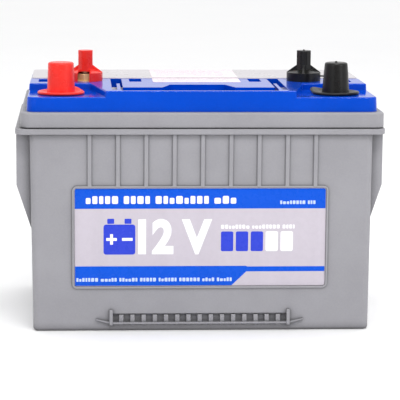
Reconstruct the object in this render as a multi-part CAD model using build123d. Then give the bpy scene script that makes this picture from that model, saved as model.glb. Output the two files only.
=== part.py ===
from build123d import *
import os
from math import atan2, cos, degrees, pi, sin

# Deep cycle battery, six absorbed-glass-mat cells in one case.
# Millimetres. Origin at the middle of the base, +Z up, +X along the length towards the
# negative terminals, -Y is the side with the big label.

# ---------------------------------------------------------------- driving dimensions
# Case
CASE_TOP_ENDS = (-127.5, 129.0)
CASE_BASE_ENDS = (-125.3, 128.1)
CASE_WIDTH = 166.0
CASE_CORNER = 5.0
BASE_EDGE = 2.5
FLANGE_LENGTH = 276.0
FLANGE_WIDTH = 172.0
FLANGE_CORNER = 7.0
FLANGE_EDGE = 0.8
FLANGE_BOTTOM = 149.2
RIM = 153.5
CAVITY_LENGTH = 245.0
CAVITY_WIDTH = 157.0
FLOOR = 3.0
PARTITION = 1.8

# Ribs and label frame on both long sides
RIB_COUNT = 9
RIB_PITCH = 21.1
RIB_OFFSET = 1.5
RIB_WIDTH = 3.2
RIB_PROUD = 1.3
RIB_EDGE = 0.6
FRAME_LENGTH = 192.0
FRAME_BOTTOM = 32.6
FRAME_TOP = 110.6
FRAME_BAR = 1.6
FRAME_PROUD = 1.2
FRAME_CORNER = 3.8
FRAME_EDGE = 0.45

# End gussets under the flange
GUSSET_OUTER = 137.4
GUSSET_KNEE = 110.0
GUSSET_FOOT = 77.5
GUSSET_FRONT = 74.0
GUSSET_THICKNESS = 4.0

# Hold-down ledge at the foot of both long sides
LEDGE_HALF = 68.0
LEDGE_BOTTOM = 5.6
LEDGE_TOP = 7.0
LEDGE_PROUD = 2.2
LEDGE_RAMP = 10.0
RECESS_DEPTH = 2.2
TOOTH_COUNT = 15
TOOTH_PITCH = 8.45
TOOTH_WIDTH = 3.2
TOOTH_TOP = 12.4
TOOTH_DROP = 1.4
TOOTH_PROUD = 0.9
TOOTH_CHAMFER = 0.8
LEDGE_ROOT = 2.5
RAMP_RISE = 1.6
RAMP_SETBACK = 0.4
END_TAB_X = 66.8
END_TAB_WIDTH = 2.4
END_TAB_BOTTOM = 3.9
END_TAB_TOP = 16.4
END_TAB_PROUD = 0.3
END_TAB_CHAMFER = 1.2

# Lid
LID_LENGTH = 271.2
LID_OFFSET = 1.5
LID_WIDTH = 169.0
LID_CORNER = 7.0
LID_SEAM = 0.9
LID_TOP = 165.7
LID_EDGE = 2.0
LID_PLATE = 157.5
LID_WELL_LENGTH = 252.0
LID_WELL_WIDTH = 155.0

# Top cover
COVER_LENGTH = 262.0
COVER_OFFSET = 1.4
COVER_DRAFT = 3.5
COVER_WIDTH = 162.0
COVER_CORNER = 7.0
COVER_LOW = 176.6
COVER_HIGH = 181.3
COVER_WALL = 2.5
COVER_EDGE = 1.1
POCKET_FRONT_X = 71.6
POCKET_REAR_X = 82.5
POCKET_REAR_Y = -27.0
STEP_CORNER = 2.0

# Handle well in the top cover
WELL_FLOOR = 168.0
GROOVE_FRONT = -77.0
GROOVE_REAR = -55.0
RECESS_REAR = -34.0
RECESS_FRONT_HALF = 28.0
RECESS_REAR_HALF = 21.0
SLOT_INNER = 57.5
SLOT_OUTER = 66.0
SLOT_FRONT = -70.5
SLOT_REAR = 11.0
WELL_WALL = 2.2
POCKET_DEPTH = 5.0
INNER_POCKET_X = (42.0, 51.5)
INNER_POCKET_Y = (-12.0, 11.0)
END_POCKET_X = (115.0, 122.0)
END_POCKET_Y = (-14.0, 7.0)

# Carry handle
PIVOT_Z = 173.5
PIN_RADIUS = 2.0
PIN_INNER = 55.6
PIN_OUTER = 67.8
PIN_FIT = 0.05
ARM_X = 60.6
ARM_THICKNESS = 2.5
ARM_TOP = 181.1
ARM_BOTTOM = 170.5
ARM_FRONT = -69.0
EYE_RADIUS = 4.8
BAR_DEPTH = 12.5
BAR_BOTTOM = 169.2
BAR_TOP = 175.6
BAR_EDGE = 2.4

# Vent cover and relief valves
VENT_FRONT = 13.0
VENT_REAR = 80.2
VENT_LENGTH = 258.4
VENT_SEAT = 178.6
VENT_TOP = 182.0
VENT_CORNER = 5.0
VENT_EDGE = 0.8
VALVE_Y = 46.0
VALVE_TROUGH_HALF_LENGTH = 119.0
VALVE_TROUGH_HALF_WIDTH = 16.0
NECK_RADIUS = 6.0
NECK_BORE = 4.0
NECK_TOP = 167.5
VALVE_RADIUS = 7.5
VALVE_BOTTOM = 159.5
VALVE_TOP = 169.5
VALVE_FIT = 0.1
VALVE_EDGE = 1.0
ARRESTOR_RADIUS = 6.5
ARRESTOR_DEPTH = 3.5
OUTLET_RADIUS = 1.0

# Terminals
POST_X = 104.5
POST_Y = -56.0
STUD_X = 85.5
STUD_Y = -2.0
POST_SEAT = 176.6
POST_STRAIGHT = 3.0
POST_HEIGHT = 21.0
POSITIVE_POST_BASE = 9.75
NEGATIVE_POST_BASE = 8.95
POST_TAPER = 1.0
POST_CHAMFER = 0.6
COLLAR_RADIUS = 12.0
SEAL_WIDTH = 2.0
PAD_RADIUS = 8.2
PAD_TOP = 180.1
BLOCK_BOTTOM = 160.0
BLOCK_TOP = 166.0
PILLAR_RADIUS = 7.0

# Studs, 5/16-18, with washer and thin hex nut
STUD_RADIUS = 3.97
STUD_PITCH = 1.411
STUD_TOP = 200.0
THREAD_DEPTH = 0.5
STUD_CHAMFER = 0.8
WASHER_RADIUS = 8.7
WASHER_THICKNESS = 1.3
NUT_FLATS = 12.7
NUT_HEIGHT = 5.2
NUT_CHAMFER = 0.55

# Terminal caps
CAP_WALL = 0.8
CAP_FIT = 0.1
POST_CAP_TOP = 200.6
BRIM_RADIUS = 17.8
BRIM_THICKNESS = 1.6
BRIM_EDGE = 0.7
POST_CAP_EDGE = 0.5
CAP_ROOF = 1.3
NIB_HEIGHT = 0.9
NIB_RADII = (0.9, 0.4)
PULL_STRAP_REACH = 23.0
PULL_STRAP_LOW = 184.6
PULL_STRAP_WIDTH = 4.0
PULL_STRAP_THICKNESS = 1.0
STUD_CAP_RING = 13.3
STUD_CAP_INNER = 11.8
STUD_CAP_SHOULDER = 187.9
STUD_CAP_CONE_TOP = 190.4
STUD_CAP_WEB_TOP = 193.6
STUD_CAP_TOP = 204.9
STUD_CAP_FLATS = 10.9
STUD_CAP_BORE = 4.3
STUD_CAP_WEB = 1.6
NOTCH_HALF = 4.6
FLUTE_RADIUS = 0.55
STUD_CAP_TURN = -8.0
NUT_TURN = -10.0

# Labels
LABEL_THICKNESS = 0.25
TOP_LABEL_HALF = 35.0
TOP_LABEL_FRONT = -17.0
LABEL_GAP = 0.2
LABEL_CORNER = 1.7

# Cells
CELL_COUNT = 6
POSITIVE_PLATES = 5
POSITIVE_THICKNESS = 2.6
NEGATIVE_THICKNESS = 2.0
SEPARATOR_THICKNESS = 1.35
PLATE_WIDTH = 149.0
PLATE_BOTTOM = 5.0
PLATE_TOP = 133.0
SEPARATOR_WIDTH = 154.0
SEPARATOR_BOTTOM = FLOOR
SEPARATOR_TOP = 136.0
LUG_WIDTH = 13.0
STRAP_Y = 54.0
STRAP_WIDTH = 18.0
STRAP_BOTTOM = 143.0
STRAP_TOP = 151.0
WELD_RADIUS = 3.2

CELL_WIDTH = (CAVITY_LENGTH - (CELL_COUNT - 1) * PARTITION) / CELL_COUNT
CELL_PITCH = CELL_WIDTH + PARTITION
ARRESTOR_X = 2 * CELL_PITCH


# ---------------------------------------------------------------- small helpers
def block(x_range, y_range, z_range):
    """Box given by its limits along each axis."""
    size = [high - low for low, high in (x_range, y_range, z_range)]
    middle = [(high + low) / 2 for low, high in (x_range, y_range, z_range)]
    return Pos(*middle) * Box(*size)


def disc(x, y, radius, low, high):
    """Upright cylinder from one height to another."""
    return Pos(x, y, (low + high) / 2) * Cylinder(radius, high - low)


def cone(x, y, low_radius, high_radius, low, high):
    """Upright cone frustum from one height to another."""
    return Pos(x, y, (low + high) / 2) * Cone(low_radius, high_radius, high - low)


def ring(x, y, outer, inner, low, high):
    """Upright ring from one height to another."""
    return disc(x, y, outer, low, high) - disc(x, y, inner, low, high)


def slab(length, width, corner, low, high):
    """Rounded rectangular plate centred on the Z axis."""
    return Pos(0, 0, low) * extrude(RectangleRounded(length, width, corner), high - low)


def prism(points, low, high):
    """Upright prism on a polygon in plan."""
    return Pos(0, 0, low) * extrude(Polygon(*points, align=None), high - low)


def side_prism(points, near, far):
    """Prism on an outline in the XZ plane, running from y = near to y = far."""
    face = Plane.XZ * Polygon(*points, align=None)
    return Pos(0, far, 0) * extrude(face, far - near, dir=(0, -1, 0))


def flip_x(shape):
    """The same shape on the other end."""
    return mirror(shape, Plane.YZ)


def flip_y(shape):
    """The same shape on the other long side."""
    return mirror(shape, Plane.XZ)


def cell_centre(index):
    """X of a cell's middle, counted from the positive end."""
    return (index - (CELL_COUNT - 1) / 2) * CELL_PITCH


# ---------------------------------------------------------------- case
def case_shell():
    outline = [
        (CASE_BASE_ENDS[0], 0),
        (CASE_BASE_ENDS[1], 0),
        (CASE_TOP_ENDS[1], RIM),
        (CASE_TOP_ENDS[0], RIM),
    ]
    shell = side_prism(outline, -CASE_WIDTH / 2, CASE_WIDTH / 2)
    corners = shell.edges().filter_by(lambda edge: abs((edge @ 1 - edge @ 0).Z) > FLANGE_BOTTOM)
    shell = fillet(corners, CASE_CORNER)
    return fillet(shell.edges().group_by(Axis.Z)[0], BASE_EDGE)


def flange():
    plate = slab(FLANGE_LENGTH, FLANGE_WIDTH, FLANGE_CORNER, FLANGE_BOTTOM, RIM)
    return fillet(plate.edges().group_by(Axis.Z)[0] + plate.edges().group_by(Axis.Z)[-1], FLANGE_EDGE)


def gusset():
    """Front gusset under the flange at the +X end."""
    inside = CAVITY_LENGTH / 2 + 1
    outline = [
        (inside, RIM - 2),
        (GUSSET_OUTER, RIM - 2),
        (GUSSET_OUTER, GUSSET_KNEE),
        (-CASE_TOP_ENDS[0] - 0.8, GUSSET_FOOT),
        (inside, GUSSET_FOOT),
    ]
    return side_prism(outline, -GUSSET_FRONT, -GUSSET_FRONT + GUSSET_THICKNESS)


def rib(index):
    """Upright rib on the -Y side, from the label frame to the flange."""
    x = RIB_OFFSET + (index - (RIB_COUNT - 1) / 2) * RIB_PITCH
    face = -CASE_WIDTH / 2
    bar = block(
        (x - RIB_WIDTH / 2, x + RIB_WIDTH / 2),
        (face - RIB_PROUD, face + 1),
        (FRAME_TOP - 1, FLANGE_BOTTOM + 1),
    )
    return fillet(bar.edges().filter_by(Axis.Z).group_by(Axis.Y)[0], RIB_EDGE)


def label_frame():
    """Raised frame around the big label on the -Y side."""
    height = FRAME_TOP - FRAME_BOTTOM
    face = -CASE_WIDTH / 2
    frame = Plane.XZ * RectangleRounded(FRAME_LENGTH, height, FRAME_CORNER)
    inner_height = height - 2 * FRAME_BAR
    inner_corner = FRAME_CORNER - FRAME_BAR
    frame -= Plane.XZ * RectangleRounded(FRAME_LENGTH - 2 * FRAME_BAR, inner_height, inner_corner)
    frame = Pos(0, face + 1, (FRAME_TOP + FRAME_BOTTOM) / 2) * extrude(frame, FRAME_PROUD + 1)
    return fillet(frame.edges().group_by(Axis.Y)[0], FRAME_EDGE)


def hold_down_recess():
    """Groove above the ledge on the -Y side, with a sloping roof."""
    face = -CASE_WIDTH / 2
    outline = [
        (face, LEDGE_TOP),
        (face + RECESS_DEPTH, LEDGE_TOP),
        (face + RECESS_DEPTH, TOOTH_TOP - 1),
        (face, TOOTH_TOP + 1),
    ]
    profile = Plane.YZ * Polygon(*outline, align=None)
    return extrude(profile, END_TAB_X, both=True)


def hold_down_ledge():
    """Toothed clamp ledge on the -Y side, with ramped ends and two tall end tabs."""
    face = -CASE_WIDTH / 2
    front = face - LEDGE_PROUD
    ledge = block((-LEDGE_HALF, LEDGE_HALF), (front, face + LEDGE_ROOT), (LEDGE_BOTTOM, LEDGE_TOP))
    ramp_tip = LEDGE_HALF + LEDGE_RAMP
    ramp = side_prism(
        [
            (LEDGE_HALF - 1, LEDGE_BOTTOM),
            (ramp_tip, LEDGE_TOP + RAMP_RISE),
            (ramp_tip, LEDGE_TOP + RAMP_RISE * 1.5),
            (LEDGE_HALF - 1, LEDGE_TOP),
        ],
        front + RAMP_SETBACK,
        face + 1,
    )
    tab = block(
        (END_TAB_X - END_TAB_WIDTH / 2, END_TAB_X + END_TAB_WIDTH / 2),
        (front - END_TAB_PROUD, face + 1),
        (END_TAB_BOTTOM, END_TAB_TOP),
    )
    tab = chamfer(tab.edges().filter_by(Axis.X).group_by(Axis.Y)[0], END_TAB_CHAMFER)
    ledge += [ramp, flip_x(ramp), tab, flip_x(tab)]
    for index in range(TOOTH_COUNT):
        x = (index - (TOOTH_COUNT - 1) / 2) * TOOTH_PITCH
        tooth = block(
            (x - TOOTH_WIDTH / 2, x + TOOTH_WIDTH / 2),
            (face - TOOTH_PROUD, face + LEDGE_ROOT),
            (LEDGE_BOTTOM - TOOTH_DROP, TOOTH_TOP),
        )
        ledge += chamfer(tooth.edges().filter_by(Axis.X).group_by(Axis.Y)[0], TOOTH_CHAMFER)
    return ledge


def cell_pocket(index):
    x = cell_centre(index)
    return block(
        (x - CELL_WIDTH / 2, x + CELL_WIDTH / 2),
        (-CAVITY_WIDTH / 2, CAVITY_WIDTH / 2),
        (FLOOR, RIM + 1),
    )


def weld_window(index):
    """Hole in a partition where two neighbouring straps are welded together."""
    x = cell_centre(index) + CELL_PITCH / 2
    side = -1 if index % 2 else 1
    height = (STRAP_BOTTOM + STRAP_TOP) / 2
    return Pos(x, side * STRAP_Y, height) * Rot(0, 90, 0) * Cylinder(WELD_RADIUS, PARTITION + 1)


def make_case():
    case = case_shell() + flange()
    front = [gusset(), flip_x(gusset()), label_frame()]
    front += [rib(index) for index in range(RIB_COUNT)]
    case += front
    case += [flip_y(piece) for piece in front]
    case -= [hold_down_recess(), flip_y(hold_down_recess())]
    case += [hold_down_ledge(), flip_y(hold_down_ledge())]
    case -= [cell_pocket(index) for index in range(CELL_COUNT)]
    case -= [weld_window(index) for index in range(CELL_COUNT - 1)]
    return case


# ---------------------------------------------------------------- lid
def make_lid():
    lid = slab(LID_LENGTH, LID_WIDTH, LID_CORNER, RIM + LID_SEAM, LID_TOP)
    lid = fillet(lid.edges().group_by(Axis.Z)[-1], LID_EDGE)
    lid += slab(LID_LENGTH - 4, LID_WIDTH - 4, LID_CORNER - 2, RIM, RIM + LID_SEAM)
    lid = Pos(LID_OFFSET, 0, 0) * lid
    lid -= slab(LID_WELL_LENGTH, LID_WELL_WIDTH, LID_CORNER - 2, LID_PLATE, LID_TOP + 1)
    for index in range(CELL_COUNT):
        x = cell_centre(index)
        lid += disc(x, VALVE_Y, NECK_RADIUS, LID_PLATE - 1, NECK_TOP)
        lid -= disc(x, VALVE_Y, NECK_BORE, RIM - 1, NECK_TOP + 1)
    for x in (-POST_X, POST_X):
        lid -= disc(x, POST_Y, COLLAR_RADIUS, RIM - 1, LID_PLATE + 1)
    return lid


# ---------------------------------------------------------------- top cover
def raised_outline(inset=0.0):
    """Plan of the raised area: everything but the two front corner pockets."""
    half_length = COVER_LENGTH / 2 - inset
    half_width = COVER_WIDTH / 2 - inset
    rear_y = POCKET_REAR_Y + inset
    left_end = COVER_OFFSET - half_length
    right_end = COVER_OFFSET + half_length
    return [
        (POCKET_FRONT_X - inset, -half_width),
        (POCKET_REAR_X - inset, rear_y),
        (right_end, rear_y),
        (right_end, half_width),
        (left_end, half_width),
        (left_end, rear_y),
        (inset - POCKET_REAR_X, rear_y),
        (inset - POCKET_FRONT_X, -half_width),
    ]


def cover_body():
    """Low slab with the raised area on it, walls drafted and every top edge rounded."""
    low_plan = Pos(COVER_OFFSET, 0) * RectangleRounded(COVER_LENGTH, COVER_WIDTH, COVER_CORNER)
    low = Pos(0, 0, LID_TOP) * extrude(low_plan, COVER_LOW - LID_TOP, taper=COVER_DRAFT)
    low = fillet(low.edges().group_by(Axis.Z)[-1], COVER_EDGE)
    plan = Polygon(*raised_outline(), align=None)
    ends = plan.vertices().group_by(Axis.Y)
    plan = fillet(ends[-1], COVER_CORNER)
    outer = plan.vertices().filter_by(lambda corner: corner.Y < POCKET_REAR_Y + 1)
    plan = fillet(outer.filter_by(lambda corner: abs(corner.X) > 100 or corner.Y < -80), STEP_CORNER)
    high = Pos(0, 0, LID_TOP) * extrude(plan, COVER_HIGH - LID_TOP, taper=COVER_DRAFT)
    high = fillet(high.edges().group_by(Axis.Z)[-1], COVER_EDGE)
    return low + high


def behind_vent_front(gap, low, high):
    """Full-length block from just in front of the vent cover to past the rear wall."""
    return block((-COVER_LENGTH, COVER_LENGTH), (VENT_FRONT - gap, COVER_WIDTH), (low, high))


def valve_trough():
    """Opening under the vent cover that the six relief valves stand in."""
    return block(
        (-VALVE_TROUGH_HALF_LENGTH, VALVE_TROUGH_HALF_LENGTH),
        (VALVE_Y - VALVE_TROUGH_HALF_WIDTH, VALVE_Y + VALVE_TROUGH_HALF_WIDTH),
        (VENT_SEAT - 2 * COVER_WALL, VENT_SEAT + 1),
    )


def cover_cavity():
    """Hollow underneath, following the pockets and the seat of the vent cover."""
    inner_length = COVER_LENGTH - 2 * COVER_WALL
    inner_width = COVER_WIDTH - 2 * COVER_WALL
    corner = COVER_CORNER - COVER_WALL
    cavity = slab(inner_length, inner_width, corner, LID_TOP - 1, COVER_LOW - COVER_WALL)
    cavity = Pos(COVER_OFFSET, 0, 0) * cavity
    upper = prism(raised_outline(COVER_WALL), COVER_LOW - COVER_WALL - 1, COVER_HIGH - COVER_WALL)
    upper -= behind_vent_front(COVER_WALL, VENT_SEAT - COVER_WALL, COVER_HIGH)
    return cavity + upper


def well_outline(margin=0.0):
    """Plan of the handle well: front groove, finger recess and two arm slots."""
    groove = Rectangle(2 * SLOT_INNER + 2 + 2 * margin, GROOVE_REAR - GROOVE_FRONT + 2 * margin)
    groove = Pos(0, (GROOVE_FRONT + GROOVE_REAR) / 2) * groove
    recess = Polygon(
        (-RECESS_FRONT_HALF - margin, GROOVE_REAR - 1),
        (RECESS_FRONT_HALF + margin, GROOVE_REAR - 1),
        (RECESS_REAR_HALF + margin, RECESS_REAR + margin),
        (-RECESS_REAR_HALF - margin, RECESS_REAR + margin),
        align=None,
    )
    slot = Rectangle(SLOT_OUTER - SLOT_INNER + 2 * margin, SLOT_REAR - SLOT_FRONT + 2 * margin)
    slot = Pos((SLOT_INNER + SLOT_OUTER) / 2, (SLOT_FRONT + SLOT_REAR) / 2) * slot
    return groove + recess + slot + mirror(slot, Plane.YZ)


def shallow_pockets(margin, low, high):
    """Small moulded pockets beside the label and near the ends."""
    pockets = []
    for x_range, y_range in ((INNER_POCKET_X, INNER_POCKET_Y), (END_POCKET_X, END_POCKET_Y)):
        pocket = block(
            (x_range[0] - margin, x_range[1] + margin),
            (y_range[0] - margin, y_range[1] + margin),
            (low, high),
        )
        pockets += [pocket, flip_x(pocket)]
    return pockets


def pin_bar(radius):
    """Short bar along X on the handle's axis at the +X side."""
    middle = (PIN_INNER + PIN_OUTER) / 2
    return Pos(middle, 0, PIVOT_Z) * Rot(0, 90, 0) * Cylinder(radius, PIN_OUTER - PIN_INNER)


def make_top_cover():
    cover = cover_body() - cover_cavity()
    roof_middle = COVER_HIGH - COVER_WALL / 2
    pocket_floor = COVER_HIGH - POCKET_DEPTH
    cover += Pos(0, 0, LID_TOP) * extrude(well_outline(WELL_WALL), roof_middle - LID_TOP)
    cover += shallow_pockets(WELL_WALL, pocket_floor - WELL_WALL, roof_middle)
    cover -= Pos(0, 0, WELL_FLOOR) * extrude(well_outline(), COVER_HIGH - WELL_FLOOR + 1)
    cover -= shallow_pockets(0, pocket_floor, COVER_HIGH + 1)
    cover -= behind_vent_front(0.5, VENT_SEAT, COVER_HIGH + 1)
    cover -= valve_trough()
    for side in (-1, 1):
        cover -= disc(side * STUD_X, STUD_Y, PAD_RADIUS + 0.2, COVER_LOW, COVER_HIGH + 1)
        cover -= disc(side * STUD_X, STUD_Y, WASHER_RADIUS + 0.7, PAD_TOP - 0.1, COVER_HIGH + 1)
        cover -= disc(side * POST_X, POST_Y, COLLAR_RADIUS, LID_TOP, COVER_LOW + 1)
    cover -= [pin_bar(PIN_RADIUS), flip_x(pin_bar(PIN_RADIUS))]
    return cover


# ---------------------------------------------------------------- carry handle
def handle_arm():
    """Thin upright arm at the +X side, from the pivot eye to the grip bar."""
    outline = [
        (0, PIVOT_Z - EYE_RADIUS),
        (ARM_FRONT + 1.5, ARM_BOTTOM),
        (ARM_FRONT, ARM_BOTTOM + 1.5),
        (ARM_FRONT, ARM_TOP - 1.2),
        (ARM_FRONT + 1.2, ARM_TOP),
        (-24, ARM_TOP),
        (-10, PIVOT_Z + EYE_RADIUS + 0.6),
        (0, PIVOT_Z + EYE_RADIUS),
    ]
    arm = extrude(Plane.YZ * Polygon(*outline, align=None), ARM_THICKNESS / 2, both=True)
    eye = Pos(0, 0, PIVOT_Z) * Rot(0, 90, 0) * Cylinder(EYE_RADIUS, ARM_THICKNESS)
    bore = Pos(0, 0, PIVOT_Z) * Rot(0, 90, 0) * Cylinder(PIN_RADIUS + PIN_FIT, ARM_THICKNESS + 2)
    return Pos(ARM_X, 0, 0) * (arm + eye - bore)


def grip_bar():
    """Low grip bar across the front, rounded along its length."""
    bar = block((-ARM_X, ARM_X), (ARM_FRONT, ARM_FRONT + BAR_DEPTH), (BAR_BOTTOM, BAR_TOP))
    return fillet(bar.edges().filter_by(Axis.X), BAR_EDGE)


def make_handle():
    arm = handle_arm()
    return arm + flip_x(arm) + grip_bar()


def make_pivot_pins():
    pin = pin_bar(PIN_RADIUS)
    return [pin, flip_x(pin)]


# ---------------------------------------------------------------- vent cover and valves
def make_vent_cover():
    middle = (VENT_FRONT + VENT_REAR) / 2
    plate = slab(VENT_LENGTH, VENT_REAR - VENT_FRONT, VENT_CORNER, VENT_SEAT, VENT_TOP)
    plate = Pos(COVER_OFFSET, middle, 0) * plate
    plate = fillet(plate.edges().group_by(Axis.Z)[-1], VENT_EDGE)
    for side in (-1, 1):
        x = side * ARRESTOR_X
        socket_low = VENT_SEAT - ARRESTOR_DEPTH - 0.5
        plate += ring(x, VALVE_Y, ARRESTOR_RADIUS + 1, ARRESTOR_RADIUS, socket_low, VENT_SEAT)
        plate -= disc(x, VALVE_Y, ARRESTOR_RADIUS - 1.5, VENT_SEAT - 1, VENT_SEAT + 2)
        outlet = Pos(side * VENT_LENGTH / 2, VALVE_Y, VENT_SEAT + 1.3) * Rot(0, 90, 0)
        plate -= outlet * Cylinder(OUTLET_RADIUS, 2 * (VENT_LENGTH / 2 - abs(x)))
    return plate


def make_arrestors():
    """Porous discs that stop a flame from reaching the cells."""
    return [
        disc(side * ARRESTOR_X, VALVE_Y, ARRESTOR_RADIUS, VENT_SEAT - ARRESTOR_DEPTH, VENT_SEAT)
        for side in (-1, 1)
    ]


def make_valve(index):
    """Rubber cap valve over one vent neck."""
    x = cell_centre(index)
    valve = disc(x, VALVE_Y, VALVE_RADIUS, VALVE_BOTTOM, VALVE_TOP)
    valve = fillet(valve.edges().group_by(Axis.Z)[-1], VALVE_EDGE)
    return valve - disc(x, VALVE_Y, NECK_RADIUS + VALVE_FIT, VALVE_BOTTOM - 1, NECK_TOP)


# ---------------------------------------------------------------- terminals
def make_post(x, base_radius):
    """Tapered automotive post, one in nine on the diameter."""
    straight = disc(x, POST_Y, base_radius, POST_SEAT, POST_SEAT + POST_STRAIGHT)
    taper = cone(
        x, POST_Y, base_radius, base_radius - POST_TAPER,
        POST_SEAT + POST_STRAIGHT, POST_SEAT + POST_HEIGHT,
    )
    post = straight + taper
    return chamfer(post.edges().group_by(Axis.Z)[-1], POST_CHAMFER)


def make_stud(x):
    """Threaded stud; the thread is a row of V grooves one pitch apart."""
    root = STUD_RADIUS - THREAD_DEPTH
    thread_start = PAD_TOP + WASHER_THICKNESS
    turns = int((STUD_TOP - 2 - thread_start) / STUD_PITCH)
    points = [(0, BLOCK_TOP), (STUD_RADIUS, BLOCK_TOP), (STUD_RADIUS, thread_start)]
    for turn in range(turns):
        crest = thread_start + (turn + 1) * STUD_PITCH
        points += [(root, crest - STUD_PITCH / 2), (STUD_RADIUS, crest)]
    points += [(STUD_RADIUS, STUD_TOP - STUD_CHAMFER), (STUD_RADIUS - STUD_CHAMFER, STUD_TOP)]
    points += [(0, STUD_TOP)]
    profile = Plane.XZ * make_face(Polyline(*points, close=True))
    return Pos(x, STUD_Y, 0) * revolve(profile, Axis.Z)


def make_washer(x):
    bore = STUD_RADIUS + PIN_FIT
    return ring(x, STUD_Y, WASHER_RADIUS, bore, PAD_TOP, PAD_TOP + WASHER_THICKNESS)


def make_nut(x):
    """Thin hex nut with one corner towards the front and both rims chamfered."""
    corner_radius = NUT_FLATS / 3 ** 0.5
    bottom = PAD_TOP + WASHER_THICKNESS
    outline = RegularPolygon(corner_radius, 6, rotation=30 + NUT_TURN)
    hexagon = Pos(x, STUD_Y, bottom) * extrude(outline, NUT_HEIGHT)
    envelope = disc(x, STUD_Y, corner_radius + 0.01, bottom, bottom + NUT_HEIGHT)
    envelope = chamfer(envelope.edges().filter_by(GeomType.CIRCLE), NUT_CHAMFER)
    bore = disc(x, STUD_Y, STUD_RADIUS + PIN_FIT, bottom - 1, bottom + NUT_HEIGHT + 1)
    return (hexagon & envelope) - bore


def make_terminal_block(side):
    """Lead bar that joins the cell pillar to the post and to the stud."""
    run = Vector(side * (STUD_X - POST_X), STUD_Y - POST_Y)
    middle = Pos(side * (STUD_X + POST_X) / 2, (STUD_Y + POST_Y) / 2, BLOCK_BOTTOM)
    outline = SlotCenterToCenter(run.length, 2 * PAD_RADIUS)
    turn = Rot(0, 0, degrees(atan2(run.Y, run.X)))
    lead = middle * turn * extrude(outline, BLOCK_TOP - BLOCK_BOTTOM)
    lead += disc(side * POST_X, POST_Y, COLLAR_RADIUS, BLOCK_BOTTOM, POST_SEAT)
    lead += disc(side * STUD_X, STUD_Y, PAD_RADIUS, BLOCK_BOTTOM, PAD_TOP)
    return lead - disc(side * STUD_X, STUD_Y, STUD_RADIUS, BLOCK_TOP, PAD_TOP + 1)


def make_bushing(side):
    """Lead bushing set in the lid around the cell pillar."""
    return ring(side * POST_X, POST_Y, COLLAR_RADIUS, PILLAR_RADIUS, RIM, BLOCK_BOTTOM)


def make_seals():
    """Rubber rings under the top cover around the two posts."""
    under = COVER_LOW - COVER_WALL
    return [
        ring(side * POST_X, POST_Y, COLLAR_RADIUS + SEAL_WIDTH, COLLAR_RADIUS, under - SEAL_WIDTH, under)
        for side in (-1, 1)
    ]


# ---------------------------------------------------------------- terminal caps
def make_post_cap(x, base_radius, with_nib):
    """Soft tapered cap over a post, with a flat brim on the cover."""
    inner = base_radius + CAP_FIT
    outer = inner + CAP_WALL
    knee = POST_SEAT + POST_STRAIGHT
    post_top = POST_SEAT + POST_HEIGHT
    cap = cone(x, POST_Y, outer, outer - POST_TAPER, POST_SEAT, POST_CAP_TOP)
    cap = fillet(cap.edges().group_by(Axis.Z)[-1], POST_CAP_EDGE)
    brim = disc(x, POST_Y, BRIM_RADIUS, POST_SEAT, POST_SEAT + BRIM_THICKNESS)
    cap += fillet(brim.edges().filter_by(GeomType.CIRCLE), BRIM_EDGE)
    cap -= disc(x, POST_Y, inner, POST_SEAT - 1, knee)
    cap -= cone(x, POST_Y, inner, inner - POST_TAPER, knee, post_top)
    cap -= disc(x, POST_Y, inner - POST_TAPER, post_top, POST_CAP_TOP - CAP_ROOF)
    if with_nib:
        cap += gate_nib(x, POST_Y, POST_CAP_TOP)
    return cap


def gate_nib(x, y, top):
    """Small moulding nib left in the middle of a cap's top."""
    return cone(x, y, *NIB_RADII, top - 0.2, top + NIB_HEIGHT)


def stud_cap_web(angle):
    """Triangular web between the cap's shoulder and its tube."""
    foot = STUD_CAP_RING - 0.2
    tube = STUD_CAP_FLATS / 2
    outline = [
        (tube - 0.8, STUD_CAP_SHOULDER - 0.3),
        (foot, STUD_CAP_SHOULDER - 0.3),
        (foot, STUD_CAP_SHOULDER + 0.2),
        (tube, STUD_CAP_WEB_TOP),
        (tube - 0.8, STUD_CAP_WEB_TOP),
    ]
    return Rot(0, 0, angle) * side_prism(outline, -STUD_CAP_WEB / 2, STUD_CAP_WEB / 2)


def pull_strap():
    """Round-ended tongue on the cap's ring, away from the middle of the battery."""
    strap = block(
        (STUD_CAP_RING - 0.8, PULL_STRAP_REACH),
        (-PULL_STRAP_WIDTH / 2, PULL_STRAP_WIDTH / 2),
        (PULL_STRAP_LOW, PULL_STRAP_LOW + PULL_STRAP_THICKNESS),
    )
    end_edges = strap.edges().filter_by(Axis.Z).group_by(Axis.X)[-1]
    return fillet(end_edges, PULL_STRAP_WIDTH / 2 - 0.1)


def cable_opening():
    """Opening through the ring and the cone, back to the wall of the tube."""
    return block(
        (-NOTCH_HALF, NOTCH_HALF),
        (-STUD_CAP_RING - 1, -STUD_CAP_FLATS / 2),
        (COVER_HIGH - 1, STUD_CAP_CONE_TOP + 1),
    )


def tube_flutes():
    """Fine upright flutes at the eight corners of the tube."""
    corner = STUD_CAP_FLATS / 2 / cos(pi / 8)
    flutes = []
    for index in range(8):
        angle = pi * (2 * index + 1) / 8
        x = corner * cos(angle)
        y = corner * sin(angle)
        flutes.append(disc(x, y, FLUTE_RADIUS, STUD_CAP_WEB_TOP, STUD_CAP_TOP + 1))
    return flutes


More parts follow.
